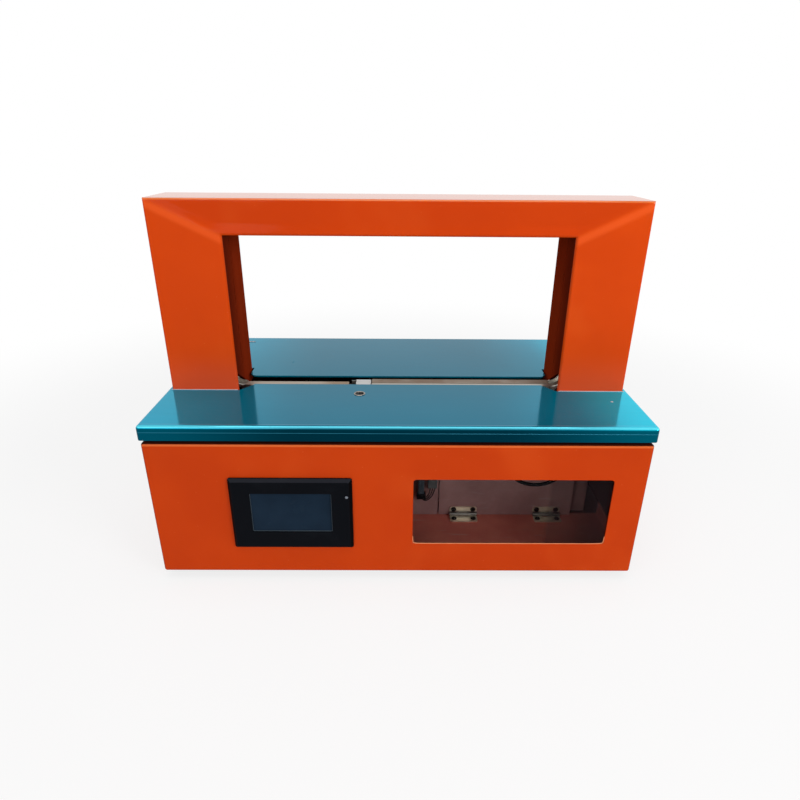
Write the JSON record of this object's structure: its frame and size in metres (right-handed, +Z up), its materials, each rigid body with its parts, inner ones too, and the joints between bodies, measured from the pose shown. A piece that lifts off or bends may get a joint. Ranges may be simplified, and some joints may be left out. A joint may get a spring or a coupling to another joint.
{
  "type": "banknote strapping machine",
  "caption": "Table-top banknote strapping machine: painted sheet body with window and touch screen, filmed steel table and a tape arch over the sealing head.",
  "frame": {"origin": "centre of the machine on the surface that its four feet stand on", "axes": "+Z up, -Y towards the operator, where the screen and the window are, +X to the operator's right"},
  "size_m": [0.577, 0.322, 0.4405],
  "materials": {
    "orange_coat": "glossy orange powder coat",
    "filmed_steel": "stainless sheet under blue protective film",
    "steel": "machined steel",
    "worn_steel": "worn tape track",
    "zinc_sheet": "grey coated sheet",
    "red_floor": "red-brown coated floor",
    "black_metal": "black coated rail",
    "black_plastic": "black moulded plastic",
    "screen_glass": "dark touch panel",
    "lamp_lens": "clear lamp lens",
    "smoked_acrylic": "tinted clear acrylic",
    "white_nylon": "white low-friction plastic",
    "rubber": "black rubber",
    "hinge_nickel": "nickel plated",
    "motor_case": "black motor case",
    "supply_case": "pressed aluminium case",
    "circuit_board": "green board with parts",
    "reel_board": "pressed board reel",
    "dark_lens": "dark sensor lens"
  },
  "bodies": {
    "machine": {"base_tray": "red_floor", "foot_front_left": "rubber", "foot_front_right": "rubber", "foot_rear_left": "rubber", "foot_rear_right": "rubber", "front_panel": "orange_coat", "rear_panel": "orange_coat", "left_side_panel": "orange_coat", "right_side_panel": "orange_coat", "front_table_rail": "black_metal", "rear_table_rail": "black_metal", "front_table_plate": "filmed_steel", "rear_table_plate": "filmed_steel", "arch_left_leg": "orange_coat", "arch_right_leg": "orange_coat", "arch_beam": "orange_coat", "left_arch_post": "zinc_sheet", "right_arch_post": "zinc_sheet", "left_leg_track": "orange_coat", "right_leg_track": "orange_coat", "beam_track": "orange_coat", "lower_left_guide": "worn_steel", "lower_right_guide": "worn_steel", "upper_left_guide": "worn_steel", "upper_right_guide": "worn_steel", "left_slot_track": "worn_steel", "right_slot_track": "worn_steel", "main_plate": "zinc_sheet", "window_pane": "smoked_acrylic", "screen_bezel": "black_plastic", "screen_glass": "screen_glass", "screen_housing": "black_plastic", "power_lamp": "lamp_lens", "sensor_ring": "steel", "start_sensor": "dark_lens", "divider_panel": "zinc_sheet", "interlock_switch": "black_plastic", "left_hinge_floor_leaf": "hinge_nickel", "left_hinge_pin": "steel", "right_hinge_floor_leaf": "hinge_nickel", "right_hinge_pin": "steel", "head_block": "steel", "cam_motor": "motor_case", "feed_motor": "motor_case", "reel_spindle": "steel", "power_supply": "supply_case", "control_board": "circuit_board", "power_inlet": "black_plastic"},
    "flap": {"inner_flap": "zinc_sheet", "left_hinge_flap_leaf": "hinge_nickel", "right_hinge_flap_leaf": "hinge_nickel"},
    "cam": {"cam_shaft": "steel"},
    "gripper_left": {"left_gripper": "steel"},
    "press": {"sealing_press": "steel"},
    "gripper_right": {"right_gripper": "steel"},
    "anvil": {"sealing_anvil": "white_nylon"},
    "drive": {"drive_roller": "rubber"},
    "pinch": {"pinch_roller": "rubber"},
    "reel": {"tape_reel": "reel_board"},
    "rocker": {"switch_rocker": "black_plastic"}
  },
  "joints": [
    {"name": "flap_fold", "type": "hinge", "parent": "machine", "child": "flap", "pos_m": [0.151, -0.0426, 0.019], "axis": [1, 0, 0], "range_deg": [0, 88]},
    {"name": "cam_turn", "type": "hinge", "parent": "machine", "child": "cam", "pos_m": [-0.0455, -0.02205, 0.1522], "axis": [1, 0, 0], "range_deg": [0, 90]},
    {"name": "left_gripper_lift", "type": "slide", "parent": "machine", "child": "gripper_left", "axis": [0, 0, 1], "range_m": [0, 0.0042]},
    {"name": "press_lift", "type": "slide", "parent": "machine", "child": "press", "axis": [0, 0, 1], "range_m": [0, 0.0042]},
    {"name": "right_gripper_lift", "type": "slide", "parent": "machine", "child": "gripper_right", "axis": [0, 0, 1], "range_m": [0, 0.0042]},
    {"name": "anvil_slide", "type": "slide", "parent": "machine", "child": "anvil", "axis": [0, -1, 0], "range_m": [0, 0.02]},
    {"name": "drive_roller_spin", "type": "hinge", "parent": "machine", "child": "drive", "pos_m": [-0.111, -0.0227, 0.1697], "axis": [0, 1, 0], "continuous": true},
    {"name": "pinch_roller_spin", "type": "hinge", "parent": "machine", "child": "pinch", "pos_m": [-0.1363, -0.0227, 0.1697], "axis": [0, 1, 0], "continuous": true},
    {"name": "reel_spin", "type": "hinge", "parent": "machine", "child": "reel", "pos_m": [0.13, 0.0313, 0.0948], "axis": [0, 1, 0], "continuous": true},
    {"name": "rocker_tilt", "type": "hinge", "parent": "machine", "child": "rocker", "pos_m": [0.225, 0.15678, 0.0865], "axis": [1, 0, 0], "range_deg": [-14, 0]}
  ],
  "couplings": [
    {"joint": "left_gripper_lift", "follows": "press_lift", "ratio": 1},
    {"joint": "right_gripper_lift", "follows": "press_lift", "ratio": 1},
    {"joint": "cam_turn", "follows": "press_lift", "rad_per_m": 373.99},
    {"joint": "pinch_roller_spin", "follows": "drive_roller_spin", "ratio": -1.5}
  ]
}
